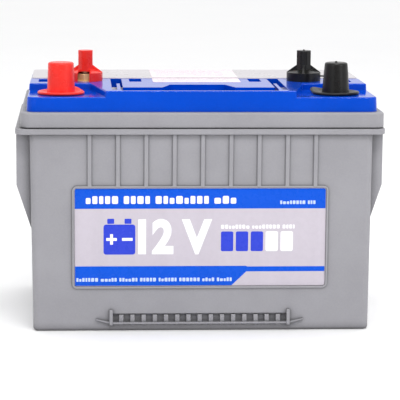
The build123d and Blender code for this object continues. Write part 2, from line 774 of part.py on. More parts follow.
def make_stud_cap(side, with_nib):
    """Cap over a stud, with a cable opening: at the front of the red cap, at the rear of the black one."""
    lip = STUD_CAP_SHOULDER - CAP_ROOF
    cap = disc(0, 0, STUD_CAP_RING, COVER_HIGH, STUD_CAP_SHOULDER)
    cap += cone(0, 0, STUD_CAP_RING, STUD_CAP_FLATS / 2, STUD_CAP_SHOULDER, STUD_CAP_CONE_TOP)
    tube = RegularPolygon(STUD_CAP_FLATS / 2, 8, major_radius=False, rotation=22.5)
    tube = extrude(tube, STUD_CAP_TOP - STUD_CAP_SHOULDER)
    cap += Pos(0, 0, STUD_CAP_SHOULDER) * tube
    cap += [stud_cap_web(angle) for angle in (0, 90, 180)]
    cap += pull_strap()
    cap -= disc(0, 0, STUD_CAP_INNER, COVER_HIGH - 1, lip)
    cap -= cone(0, 0, STUD_CAP_INNER, STUD_CAP_BORE, lip, STUD_CAP_CONE_TOP - CAP_ROOF)
    cap -= disc(0, 0, STUD_CAP_BORE, STUD_CAP_CONE_TOP - CAP_ROOF - 1, STUD_CAP_TOP - CAP_ROOF)
    cap -= cable_opening()
    cap -= tube_flutes()
    if with_nib:
        cap += gate_nib(0, 0, STUD_CAP_TOP)
    cap = flip_x(cap) if side < 0 else flip_y(cap)
    return Pos(side * STUD_X, STUD_Y, 0) * Rot(0, 0, STUD_CAP_TURN) * cap


# ---------------------------------------------------------------- labels
def make_front_label():
    length = FRAME_LENGTH - 2 * (FRAME_BAR + LABEL_GAP)
    height = FRAME_TOP - FRAME_BOTTOM - 2 * (FRAME_BAR + LABEL_GAP)
    sheet = extrude(Plane.XZ * RectangleRounded(length, height, LABEL_CORNER), LABEL_THICKNESS)
    return Pos(0, -CASE_WIDTH / 2, (FRAME_TOP + FRAME_BOTTOM) / 2) * sheet


def make_flat_label(y_range, height):
    half = (-TOP_LABEL_HALF, TOP_LABEL_HALF)
    return block(half, y_range, (height, height + LABEL_THICKNESS))


# ---------------------------------------------------------------- cells
def positive_side(index):
    """Long side of the case on which a cell's positive strap lies."""
    return 1 if index % 2 else -1


def sheet_positions(index):
    """Kind, near face and far face of every sheet in a cell, in order along X."""
    plates = [("negative", NEGATIVE_THICKNESS)]
    for _ in range(POSITIVE_PLATES):
        plates += [("separator", SEPARATOR_THICKNESS), ("positive", POSITIVE_THICKNESS)]
        plates += [("separator", SEPARATOR_THICKNESS), ("negative", NEGATIVE_THICKNESS)]
    x = cell_centre(index) - sum(thickness for _, thickness in plates) / 2
    sheets = []
    for kind, thickness in plates:
        sheets.append((kind, x, x + thickness))
        x += thickness
    return sheets


def make_plates(index, kind):
    """All plates of one polarity in a cell, each with its lug."""
    lug_y = STRAP_Y * positive_side(index) * (1 if kind == "positive" else -1)
    plates = []
    for sheet_kind, near, far in sheet_positions(index):
        if sheet_kind == kind:
            plate = block((near, far), (-PLATE_WIDTH / 2, PLATE_WIDTH / 2), (PLATE_BOTTOM, PLATE_TOP))
            lug_range = (lug_y - LUG_WIDTH / 2, lug_y + LUG_WIDTH / 2)
            plates.append(plate + block((near, far), lug_range, (PLATE_TOP - 1, STRAP_BOTTOM)))
    return plates


def make_separators(index):
    half = SEPARATOR_WIDTH / 2
    return [
        block((near, far), (-half, half), (SEPARATOR_BOTTOM, SEPARATOR_TOP))
        for kind, near, far in sheet_positions(index)
        if kind == "separator"
    ]


def make_strap(index, side, weld_direction):
    """Cast strap over one row of lugs, with a stub to the next cell or none."""
    x = cell_centre(index)
    y = side * STRAP_Y
    half = CELL_WIDTH / 2 - 1
    strap = block(
        (x - half, x + half),
        (y - STRAP_WIDTH / 2, y + STRAP_WIDTH / 2),
        (STRAP_BOTTOM, STRAP_TOP),
    )
    if weld_direction:
        reach = 1 + PARTITION / 2
        middle = x + weld_direction * (half + reach / 2)
        stub = Rot(0, 90, 0) * Cylinder(WELD_RADIUS, reach)
        strap += Pos(middle, y, (STRAP_BOTTOM + STRAP_TOP) / 2) * stub
    else:
        post_x = POST_X if x > 0 else -POST_X
        strap += disc(post_x, POST_Y, PILLAR_RADIUS, STRAP_TOP - 1, BLOCK_BOTTOM)
    return strap


def make_straps(index):
    side = positive_side(index)
    first = index == 0
    last = index == CELL_COUNT - 1
    return [make_strap(index, side, 0 if first else -1), make_strap(index, -side, 0 if last else 1)]


# ---------------------------------------------------------------- whole battery
def build_parts():
    label_rear = VENT_REAR - 1.2
    parts = {
        "case": make_case(),
        "lid": make_lid(),
        "top_cover": make_top_cover(),
        "vent_cover": make_vent_cover(),
        "carry_handle": make_handle(),
        "handle_pivot_pins": make_pivot_pins(),
        "flame_arrestor_discs": make_arrestors(),
        "post_seal_rings": make_seals(),
        "front_label": make_front_label(),
        "top_label": make_flat_label((TOP_LABEL_FRONT, VENT_FRONT - 0.8), COVER_HIGH),
        "vent_cover_label": make_flat_label((VENT_FRONT + 1.2, label_rear), VENT_TOP),
    }
    for name, side, base in (("positive", -1, POSITIVE_POST_BASE), ("negative", 1, NEGATIVE_POST_BASE)):
        parts[name + "_terminal_block"] = make_terminal_block(side)
        parts[name + "_bushing"] = make_bushing(side)
        parts[name + "_post"] = make_post(side * POST_X, base)
        parts[name + "_stud"] = make_stud(side * STUD_X)
        parts[name + "_stud_washer"] = make_washer(side * STUD_X)
        parts[name + "_stud_nut"] = make_nut(side * STUD_X)
        parts[name + "_post_cap"] = make_post_cap(side * POST_X, base, side > 0)
        parts[name + "_stud_cap"] = make_stud_cap(side, side > 0)
    for index in range(CELL_COUNT):
        cell = f"cell_{index + 1}_"
        parts[cell + "positive_plates"] = make_plates(index, "positive")
        parts[cell + "negative_plates"] = make_plates(index, "negative")
        parts[cell + "separators"] = make_separators(index)
        parts[cell + "straps"] = make_straps(index)
        parts[f"relief_valve_{index + 1}"] = make_valve(index)
    return parts


os.makedirs("parts", exist_ok=True)
for node, shape in build_parts().items():
    solids = shape if isinstance(shape, list) else [shape]
    export_step(Compound([solid for piece in solids for solid in piece.solids()]), f"parts/{node}.step")
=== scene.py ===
import math
import random

import bmesh
import bpy
from mathutils import Matrix, Vector, noise


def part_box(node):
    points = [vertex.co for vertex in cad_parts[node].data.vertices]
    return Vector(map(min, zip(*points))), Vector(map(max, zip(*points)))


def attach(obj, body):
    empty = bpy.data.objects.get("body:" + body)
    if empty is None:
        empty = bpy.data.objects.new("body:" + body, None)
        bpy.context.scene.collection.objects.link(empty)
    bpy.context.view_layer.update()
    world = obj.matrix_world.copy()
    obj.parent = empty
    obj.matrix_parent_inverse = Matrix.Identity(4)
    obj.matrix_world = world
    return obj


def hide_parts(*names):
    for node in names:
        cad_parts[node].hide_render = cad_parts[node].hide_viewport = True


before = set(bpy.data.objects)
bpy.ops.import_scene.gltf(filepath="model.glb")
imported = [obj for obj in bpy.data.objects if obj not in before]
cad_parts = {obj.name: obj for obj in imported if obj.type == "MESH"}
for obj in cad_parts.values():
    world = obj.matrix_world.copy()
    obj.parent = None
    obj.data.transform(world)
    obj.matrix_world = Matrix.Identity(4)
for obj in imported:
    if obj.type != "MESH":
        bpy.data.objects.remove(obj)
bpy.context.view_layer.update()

PAINTED_SHADE_REACH = 0.007  # how far from a corner the painted shade reaches
EDGE_COSINES = (0.995, 0.85)  # rounded against true normal: no edge, full edge


# ---------------------------------------------------------------- materials
def srgb(red, green, blue):
    """Linear colour from 0-255 display values."""
    values = []
    for value in (red, green, blue):
        value /= 255
        values.append(value / 12.92 if value <= 0.04045 else ((value + 0.055) / 1.055) ** 2.4)
    return (*values, 1.0)


def scaled(colour, gain):
    """The colour made lighter or darker, at most white."""
    return (*(min(1.0, channel * gain) for channel in colour[:3]), 1.0)


class Shader:
    """A material's node tree, with short calls for the nodes used here."""

    def __init__(self, name):
        self.material = bpy.data.materials.new(name)
        self.material.use_nodes = True
        self.tree = self.material.node_tree
        self.bsdf = self.tree.nodes["Principled BSDF"]
        self.coords = self.tree.nodes.new("ShaderNodeTexCoord").outputs["Object"]

    def node(self, kind, **values):
        node = self.tree.nodes.new(kind)
        for key, value in values.items():
            setattr(node, key, value)
        return node

    def link(self, output, socket):
        self.tree.links.new(output, socket)

    def stretched(self, scale, turn=(0, 0, 0)):
        node = self.node("ShaderNodeMapping")
        node.inputs["Scale"].default_value = scale
        node.inputs["Rotation"].default_value = turn
        self.link(self.coords, node.inputs["Vector"])
        return node.outputs["Vector"]

    def noise(self, scale, detail=3.0, roughness=0.55, vector=None):
        node = self.node("ShaderNodeTexNoise")
        node.inputs["Scale"].default_value = scale
        node.inputs["Detail"].default_value = detail
        node.inputs["Roughness"].default_value = roughness
        self.link(vector or self.coords, node.inputs["Vector"])
        return node.outputs["Fac"]

    def cells(self, scale):
        node = self.node("ShaderNodeTexVoronoi", feature="F1")
        node.inputs["Scale"].default_value = scale
        self.link(self.coords, node.inputs["Vector"])
        return node.outputs["Distance"]

    def map(self, value, low, high, to_low, to_high):
        node = self.node("ShaderNodeMapRange")
        node.inputs["From Min"].default_value = low
        node.inputs["From Max"].default_value = high
        node.inputs["To Min"].default_value = to_low
        node.inputs["To Max"].default_value = to_high
        self.link(value, node.inputs["Value"])
        return node.outputs["Result"]

    def math(self, operation, first, second):
        node = self.node("ShaderNodeMath", operation=operation)
        for socket, value in zip(node.inputs, (first, second)):
            if isinstance(value, (int, float)):
                socket.default_value = value
            else:
                self.link(value, socket)
        return node.outputs["Value"]

    def mix(self, factor, first, second):
        node = self.node("ShaderNodeMix", data_type="RGBA")
        for key, value in ((0, factor), (6, first), (7, second)):
            if isinstance(value, (int, float, tuple)):
                node.inputs[key].default_value = value
            else:
                self.link(value, node.inputs[key])
        return node.outputs[2]

    def bump(self, height, strength, distance, normal=None):
        node = self.node("ShaderNodeBump")
        node.inputs["Strength"].default_value = strength
        node.inputs["Distance"].default_value = distance
        self.link(height, node.inputs["Height"])
        if normal is not None:
            self.link(normal, node.inputs["Normal"])
        return node.outputs["Normal"]

    def rounded(self, radius):
        """Normal of the surface with its edges rounded, and a mask of those edges."""
        bevel = self.node("ShaderNodeBevel", samples=4)
        bevel.inputs["Radius"].default_value = radius
        geometry = self.node("ShaderNodeNewGeometry")
        dot = self.node("ShaderNodeVectorMath", operation="DOT_PRODUCT")
        self.link(bevel.outputs["Normal"], dot.inputs[0])
        self.link(geometry.outputs["Normal"], dot.inputs[1])
        return bevel.outputs["Normal"], self.map(dot.outputs["Value"], *EDGE_COSINES, 0.0, 1.0)

    def set(self, **values):
        for key, value in values.items():
            socket = self.bsdf.inputs[key.replace("_", " ").title().replace("Ior", "IOR")]
            if isinstance(value, (int, float, tuple)):
                socket.default_value = value
            else:
                self.link(value, socket)
        return self


def moulded(name, colour, rough, grain, grain_scale=2400.0, edge_wear_and_highlight_gain=1.25,
            edge_radius=0.0005, scuffs=0.3, ripple=0.1, painted_shade_strength=0.0, **extra):
    """Moulded plastic: clouding, fine grain, scuffs, paler edges that are partly worn and partly a
    painted highlight, painted shade in the corners.
    """
    shader = Shader(name)
    normal, edges = shader.rounded(edge_radius)
    clouds = shader.noise(28.0, 4.0, 0.6)
    specks = shader.noise(700.0, 2.0)
    clouds, specks = shader.math("MULTIPLY", clouds, 0.7), shader.math("MULTIPLY", specks, 0.3)
    tone = shader.map(shader.math("ADD", clouds, specks), 0.38, 0.62, 0.0, 1.0)
    body = shader.mix(tone, scaled(colour, 0.95), scaled(colour, 1.05))
    # Paler edges: partly rubbed wear, partly a painted highlight along the rounded edges, broken
    # up by noise.
    wear_and_highlight_breakup = shader.map(shader.noise(90.0, 5.0, 0.7), 0.45, 0.7, 0.0, 0.7)
    worn_and_highlit_edges = shader.math("MULTIPLY", edges, wear_and_highlight_breakup)
    lines = shader.noise(55.0, 6.0, 0.75, shader.stretched((1.0, 1.0, 14.0), (0.3, 0.5, 0.2)))
    hairs = shader.map(lines, 0.66, 0.74, 0.0, scuffs)
    body = shader.mix(worn_and_highlit_edges, body, scaled(colour, edge_wear_and_highlight_gain))
    # Painted shade: the colour darkens towards near-black where ambient occlusion finds nearby
    # surfaces, in corners, recesses and under overhangs.
    if painted_shade_strength:
        corners = shader.node("ShaderNodeAmbientOcclusion", samples=8)
        corners.inputs["Distance"].default_value = PAINTED_SHADE_REACH
        painted_shade_mask = shader.map(corners.outputs["AO"], 0.45, 1.0, painted_shade_strength, 0.0)
        body = shader.mix(painted_shade_mask, body, scaled(colour, 0.12))
    patches = shader.map(shader.noise(60.0, 4.0, 0.6), 0.35, 0.65, rough[0], rough[1])
    fine = shader.noise(grain_scale, 3.0, 0.6)
    normal = shader.bump(fine, grain, 0.0001, normal)
    normal = shader.bump(shader.noise(160.0, 2.0), ripple, 0.0003, normal)
    shader.set(
        base_color=body,
        roughness=shader.math("ADD", patches, shader.math("MULTIPLY", hairs, 0.25)),
        normal=normal,
        **extra,
    )
    return shader.material


def vinyl(name, colour, rough):
    """Soft dip-moulded vinyl: slight ripples, dust specks, a skin with a sheen, and a painted
    highlight along its rounded edges.
    """
    shader = Shader(name)
    normal, edges = shader.rounded(0.0004)
    ripples = shader.noise(220.0, 3.0, 0.5)
    dust = shader.map(shader.noise(1500.0, 2.0), 0.70, 0.78, 0.0, 0.35)
    shade = shader.map(shader.noise(70.0, 4.0), 0.35, 0.65, 0.0, 1.0)
    body = shader.mix(shade, scaled(colour, 0.9), scaled(colour, 1.08))
    # Painted highlight: the rounded edges are lightened towards a paler copy of the colour.
    body = shader.mix(shader.math("MULTIPLY", edges, 0.25), body, scaled(colour, 1.4))
    normal = shader.bump(ripples, 0.25, 0.0003, normal)
    normal = shader.bump(shader.noise(2600.0, 2.0), 0.08, 0.0001, normal)
    shader.set(
        base_color=shader.mix(dust, body, scaled(colour, 1.6)),
        roughness=shader.map(shader.noise(130.0, 4.0), 0.35, 0.65, rough[0], rough[1]),
        normal=normal,
        specular_ior_level=0.35,
        subsurface_weight=0.04,
        subsurface_scale=0.001,
    )
    return shader.material


def metal(name, colour, rough, turned=0.25, tarnish=None, metallic=1.0):
    """Machined or cast metal with fine circular marks and darker patches of tarnish."""
    shader = Shader(name)
    normal, edges = shader.rounded(0.0002)
    marks = shader.noise(140.0, 3.0, 0.6, shader.stretched((1.0, 1.0, 40.0)))
    patches = shader.map(shader.noise(260.0, 5.0, 0.65), 0.45, 0.68, 0.0, 0.6)
    body = shader.mix(patches, colour, tarnish or scaled(colour, 0.6))
    body = shader.mix(shader.math("MULTIPLY", edges, 0.5), body, scaled(colour, 1.2))
    normal = shader.bump(marks, turned, 0.0001, normal)
    shader.set(
        base_color=body,
        metallic=metallic,
        roughness=shader.math("ADD", shader.map(marks, 0.3, 0.7, rough[0], rough[1]),
                              shader.math("MULTIPLY", patches, 0.2)),
        normal=normal,
    )
    return shader.material


def film(name, colour):
    """Printed label film under a clear laminate, with a slight orange-peel surface."""
    shader = Shader(name)
    print_grain = shader.map(shader.noise(2200.0, 2.0), 0.3, 0.7, 0.0, 1.0)
    streaks = shader.noise(60.0, 3.0, 0.6, shader.stretched((1.0, 1.0, 0.06)))
    tone = shader.math("ADD", shader.math("MULTIPLY", print_grain, 0.4),
                       shader.math("MULTIPLY", shader.map(streaks, 0.35, 0.65, 0.0, 1.0), 0.6))
    shader.set(
        base_color=shader.mix(tone, scaled(colour, 0.955), scaled(colour, 1.04)),
        roughness=shader.map(shader.noise(190.0, 4.0), 0.35, 0.65, 0.22, 0.34),
        normal=shader.bump(shader.noise(420.0, 2.0), 0.06, 0.0002),
        specular_ior_level=0.14,
    )
    return shader.material


def porous(name, colour, scale, rough=(0.8, 0.95), depth=0.5):
    """Dry, pitted material such as paste, ceramic or rubber."""
    shader = Shader(name)
    pits = shader.cells(scale)
    shade = shader.map(shader.noise(scale * 0.2, 4.0, 0.6), 0.35, 0.65, 0.0, 1.0)
    shader.set(
        base_color=shader.mix(shade, scaled(colour, 0.82), scaled(colour, 1.12)),
        roughness=shader.map(shader.noise(scale * 0.5), 0.35, 0.65, rough[0], rough[1]),
        normal=shader.bump(shader.math("ADD", pits, shader.noise(scale * 2.0)), depth, 0.0003),
    )
    return shader.material


def fibrous(name, colour):
    """Felted glass fibre: two crossed directions of fine strands."""
    shader = Shader(name)
    up = shader.noise(350.0, 4.0, 0.7, shader.stretched((1.0, 6.0, 0.6), (0.4, 0.0, 0.0)))
    across = shader.noise(350.0, 4.0, 0.7, shader.stretched((1.0, 0.6, 6.0), (-0.3, 0.0, 0.0)))
    strands = shader.math("MAXIMUM", up, across)
    shader.set(
        base_color=shader.mix(strands, scaled(colour, 0.75), colour),
        roughness=shader.map(strands, 0.4, 0.7, 0.95, 0.85),
        normal=shader.bump(strands, 0.6, 0.0003),
        sheen_weight=0.3,
    )
    return shader.material


BLUE = (0.0, 0.061, 0.54, 1.0)
LABEL_BLUE = (0.002, 0.09, 0.66, 1.0)
BRASS = (1.0, 0.74, 0.38, 1.0)
BRASS_TARNISH = (0.8, 0.55, 0.26, 1.0)
GREY = srgb(149, 148, 153)
# The case's grey made lighter as a painted glare on the vent cover's top.
VENT_GREY_WITH_PAINTED_GLARE = srgb(188, 184, 188)

MATERIALS = {
    "case_plastic": moulded("case_plastic", GREY, (0.42, 0.55), 0.22, edge_wear_and_highlight_gain=1.3, painted_shade_strength=0.6),
    "cover_plastic": moulded(
        "cover_plastic", BLUE, (0.06, 0.12), 0.03, grain_scale=1500.0, edge_wear_and_highlight_gain=1.5,
        edge_radius=0.00015, scuffs=0.15, ripple=0.02, specular_ior_level=0.2,
    ),
    "red_vinyl": vinyl("red_vinyl", (0.86, 0.025, 0.016, 1.0), (0.24, 0.36)),
    "black_vinyl": vinyl("black_vinyl", (0.0046, 0.0042, 0.0041, 1.0), (0.26, 0.38)),
    "lead": metal("lead", srgb(150, 150, 156), (0.42, 0.6), 0.35, srgb(92, 92, 98)),
    "stud_steel": metal("stud_steel", srgb(196, 196, 198), (0.22, 0.34), 0.2),
    "nut_brass": metal("nut_brass", BRASS, (0.4, 0.5), 0.2, BRASS_TARNISH, 0.35),
    "pin_nylon": moulded("pin_nylon", srgb(210, 208, 200), (0.4, 0.5), 0.1),
    "front_label_film": film("front_label_film", srgb(198, 191, 201)),
    "white_label_film": film("white_label_film", srgb(234, 219, 227)),
    "valve_rubber": porous("valve_rubber", srgb(30, 30, 32), 2200.0, (0.6, 0.75), 0.15),
    "seal_rubber": porous("seal_rubber", srgb(38, 38, 40), 2200.0, (0.65, 0.8), 0.15),
    "arrestor_ceramic": porous("arrestor_ceramic", srgb(232, 230, 224), 1400.0, (0.85, 0.95), 0.7),
    "positive_paste": porous("positive_paste", srgb(84, 46, 32), 900.0),
    "negative_paste": porous("negative_paste", srgb(120, 122, 126), 900.0),
    "glass_mat": fibrous("glass_mat", srgb(240, 240, 236)),
}
# Nodes whose finish isn't that of the others in their slot. The vent cover is the case's grey
# plastic, glossier, with a painted glare: its colour is much lighter than the case's grey.
NODE_MATERIALS = {
    "vent_cover": moulded(
        "vent_plastic_painted_glare", VENT_GREY_WITH_PAINTED_GLARE, (0.26, 0.34), 0.08, edge_wear_and_highlight_gain=1.15, ripple=0.04,
    ),
}
LABEL_INK = {
    "blue": film("label_ink_blue", LABEL_BLUE),
    "violet": film("label_ink_violet", srgb(52, 70, 205)),
    "white": film("label_ink_white", srgb(248, 246, 250)),
    "soft": film("label_ink_soft", srgb(196, 212, 247)),
    "pale": film("label_ink_pale", srgb(190, 172, 184)),
}


def paint_cad_nodes():
    """Gives every carried-over CAD node the material of its slot in the record."""
    for name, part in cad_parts.items():
        for slot in part.material_slots:
            base = slot.material.name.split(".")[0] if slot.material else ""
            if base in MATERIALS:
                slot.material = NODE_MATERIALS.get(name, MATERIALS[base])


# ---------------------------------------------------------------- mesh helpers
BOLDNESS = 0.045  # how far letters grow outward, for a height of 1


def piece(name, mesh, material, smooth_angle=35.0):
    """Object for a mesh in the CAD's frame, shaded smooth except at sharp edges."""
    mesh.name = name
    made = bpy.data.objects.new(name, mesh)
    bpy.context.scene.collection.objects.link(made)
    mesh.materials.append(material)
    for polygon in mesh.polygons:
        polygon.use_smooth = True
    mesh.set_sharp_from_angle(angle=math.radians(smooth_angle))
    return made


def lathe(profile, centre, segments, shift):
    """Turned surface from a profile of (radius, height), its points moved by shift.

    A disc closes each end of the profile.
    """
    build = bmesh.new()
    rings = []
    for radius, height in profile:
        ring = []
        for step in range(segments):
            angle = 2 * math.pi * step / segments
            spot = Vector((radius * math.cos(angle), radius * math.sin(angle), height))
            ring.append(build.verts.new(shift(spot, angle) + centre))
        rings.append(ring)
    for lower, upper in zip(rings, rings[1:]):
        for step in range(segments):
            after = (step + 1) % segments
            build.faces.new((lower[step], lower[after], upper[after], upper[step]))
    build.faces.new(rings[0][::-1])
    build.faces.new(rings[-1])
    bmesh.ops.recalc_face_normals(build, faces=build.faces)
    mesh = bpy.data.meshes.new("lathe")
    build.to_mesh(mesh)
    build.free()
    return mesh


def plate(outline, thickness, place):
    """Thin plate on a flat outline, its front edge slightly bevelled, moved by a matrix."""
    build = bmesh.new()
    back = [build.verts.new((x, y, 0)) for x, y in outline]
    face = build.faces.new(back)
    grown = bmesh.ops.extrude_face_region(build, geom=[face])
    top = [item for item in grown["geom"] if isinstance(item, bmesh.types.BMVert)]
    bmesh.ops.translate(build, verts=top, vec=(0, 0, thickness))
    bmesh.ops.recalc_face_normals(build, faces=build.faces)
    rim = [
        edge for edge in build.edges if all(abs(v.co.z - thickness) < 1e-9 for v in edge.verts)
    ]
    bmesh.ops.bevel(
        build, geom=rim, offset=thickness * 0.4, segments=2, affect="EDGES", profile=0.6,
    )
    build.transform(place)
    mesh = bpy.data.meshes.new("plate")
    build.to_mesh(mesh)
    build.free()
    return mesh


def rounded_outline(left, bottom, right, top, radius, steps=5):
    """Corner points of a rectangle with rounded corners, anticlockwise."""
    points = []
    corners = (
        (right - radius, bottom + radius, -90), (right - radius, top - radius, 0),
        (left + radius, top - radius, 90), (left + radius, bottom + radius, 180),
    )
    for x, y, start in corners:
        for step in range(steps + 1):
            angle = math.radians(start + 90 * step / steps)
            points.append((x + radius * math.cos(angle), y + radius * math.sin(angle)))
    return points


def joined(name, meshes, material):
    """One piece made of several meshes."""
    build = bmesh.new()
    for mesh in meshes:
        build.from_mesh(mesh)
        bpy.data.meshes.remove(mesh)
    mesh = bpy.data.meshes.new(name)
    build.to_mesh(mesh)
    build.free()
    return piece(name, mesh, material)


def lettering(text, left, bottom, right, top, thickness, place):
    """Generic characters as thin raised ink, stretched to fill a rectangle."""
    curve = bpy.data.curves.new("letters", "FONT")
    curve.body = text
    curve.extrude = thickness / 2
    curve.offset = BOLDNESS
    holder = bpy.data.objects.new("letters", curve)
    mesh = bpy.data.meshes.new_from_object(holder)
    bpy.data.objects.remove(holder)
    low = [min(vertex.co[axis] for vertex in mesh.vertices) for axis in range(3)]
    high = [max(vertex.co[axis] for vertex in mesh.vertices) for axis in range(3)]
    wide = (right - left) / (high[0] - low[0])
    tall = (top - bottom) / (high[1] - low[1])
    deep = thickness / (high[2] - low[2])
    to_corner = Matrix.Translation([-value for value in low])
    mesh.transform(Matrix.Diagonal((wide, tall, deep, 1.0)) @ to_corner)
    mesh.transform(place @ Matrix.Translation((left, bottom, 0.0)))
    return mesh


# ---------------------------------------------------------------- labels
FACING_FRONT = Matrix(((1, 0, 0, 0), (0, 0, -1, 0), (0, 1, 0, 0), (0, 0, 0, 1)))
INK = 0.00004  # how thick ink is
INK_SINK = 0.00001  # ink starts this far inside the film
CROSSING_INK = INK * 1.2  # for a bar across another, so that no two faces coincide

# Parts of a letter's height, for the blocks that stand in for print.
LETTER_WIDTHS = (0.5, 0.85)
LETTER_HEIGHTS = (1.0, 1.0, 0.76)
LETTER_GAP = 0.22
WORD_GAP = 0.5
LAST_LETTER = 0.3


def greeked(lines, thickness, place, seed):
    """Plain blocks in words, in place of print; a line is its left, right, bottom and height."""
    draw = random.Random(seed)
    meshes = []
    for left, right, low, height in lines:
        x = left
        letters = draw.randint(4, 8)
        while x < right - height * LAST_LETTER:
            width = min(height * draw.uniform(*LETTER_WIDTHS), right - x)
            tall = height * draw.choice(LETTER_HEIGHTS)
            outline = rounded_outline(x, low, x + width, low + tall, min(width, tall) * 0.2, 2)
            meshes.append(plate(outline, thickness, place))
            x += width + height * LETTER_GAP
            letters -= 1
            if letters == 0:
                x += height * WORD_GAP
                letters = draw.randint(3, 8)
    return meshes


def inked(shapes, place, thickness=INK):
    """Plates of ink, one for each (left, bottom, right, top, corner radius)."""
    return [plate(rounded_outline(*shape), thickness, place) for shape in shapes]


def colour_fields(half, height, face):
    """Blue band along the top of the front label, and the stepped field along its foot."""
    inset, corner, corner_top = 0.0003, 0.0015, 0.002
    left, right, top = -half + inset, half - inset, height - inset
    band = height - 0.0155
    step, strip, notch = 0.0152, 0.0109, 0.0005
    corners = rounded_outline(left, band, right, top, corner)
    upper = [(left, band), (right, band)]
    upper += [spot for spot in corners if spot[1] > band + corner_top]
    lower = [
        (left, inset), (0.0238, inset), (0.0349, strip), (right, strip),
        (right, step - notch), (0.0355, step - notch), (0.0345, step), (left, step),
    ]
    return [plate(upper, INK, face), plate(lower, INK, face)]


def front_label():
    """Film of the front label, its colour fields, and blocks, symbol and gauge in ink."""
    low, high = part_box("front_label")
    half, height = (high.x - low.x) / 2, high.z - low.z
    sheet_corner = 0.0017
    back = Matrix.Translation((0, high.y, low.z)) @ FACING_FRONT
    face = Matrix.Translation((0, low.y + INK_SINK, low.z)) @ FACING_FRONT
    above = Matrix.Translation((0, -INK, 0)) @ face

    sheet = plate(rounded_outline(-half, 0, half, height, sheet_corner), high.y - low.y, back)
    sheet = piece("label_sheet", sheet, MATERIALS["front_label_film"])
    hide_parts("front_label")
    fields = joined("label_blue_fields", colour_fields(half, height, face), LABEL_INK["blue"])

    title_line = (-0.0857, 0.0267, height - 0.0118, 0.0059)
    title = joined("label_title", greeked([title_line], INK, above, 4), LABEL_INK["white"])
    small_lines = [(0.0597, 0.0867, height - 0.0122, 0.0027), (-0.0928, 0.0252, 0.0035, 0.0028)]
    small = greeked(small_lines, INK, above, 5)
    small = joined("label_small_print", small, LABEL_INK["soft"])

    battery = (-0.0725, 0.0241, -0.0487, 0.0470, 0.002)
    terminals = [(x, 0.0475, x + 0.0052, 0.0514, 0.0006) for x in (-0.0697, -0.0568)]
    bars, charged, pitch = 5, 3, 0.0112
    gauge = [
        (0.0155 + pitch * bar, 0.0264, 0.0248 + pitch * bar, 0.0415, 0.0012) for bar in range(bars)
    ]
    symbol = inked([battery, *terminals, *gauge[:charged]], face)
    symbol = joined("label_battery_symbol", symbol, LABEL_INK["violet"])

    plus_across = (-0.0705, 0.0346, -0.0625, 0.0368, 0.0003)
    plus_upright = (-0.0676, 0.0317, -0.0654, 0.0397, 0.0003)
    minus = (-0.0587, 0.0346, -0.0507, 0.0368, 0.0003)
    mark = inked([plus_across], above) + inked([plus_upright], above, CROSSING_INK)
    mark += inked([minus], above)
    mark.append(lettering("12 V", -0.0465, 0.0241, 0.0088, 0.0512, INK, face))
    mark += inked(gauge[charged:], face)
    mark += greeked([(0.0155, 0.0708, 0.0436, 0.0030)], INK, face, 6)
    mark = joined("label_mark", mark, LABEL_INK["white"])
    for made in (sheet, fields, title, small, symbol, mark):
        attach(made, "battery")


def flat_label(node, lines, seed):
    """White film on the top, with faint blocks for its lines of print."""
    low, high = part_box(node)
    short, corner = 0.0018, 0.0015
    base = Matrix.Translation((0, 0, low.z))
    sheet = plate(
        rounded_outline(low.x + short, low.y, high.x, high.y, corner), high.z - low.z, base,
    )
    sheet = piece(node + "_sheet", sheet, MATERIALS["white_label_film"])
    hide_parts(node)
    top = Matrix.Translation((low.x, low.y, high.z - INK_SINK))
    lettered = joined(node + "_print", greeked(lines, INK, top, seed), LABEL_INK["pale"])
    for made in (sheet, lettered):
        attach(made, "battery")


# ---------------------------------------------------------------- terminal caps
CAP_WALL = 0.0008
CAP_SEGMENTS = 96
CAP_SMOOTH_ANGLE = 50.0
NIB_HEIGHT = 0.0009  # moulding mark on top of the black cap
TAB_WIDTH = 0.42  # radians from the tab's middle until it has mostly faded
BRIM_WAVE = 0.0005
WOBBLE = 0.00012
WOBBLE_SCALE = 90


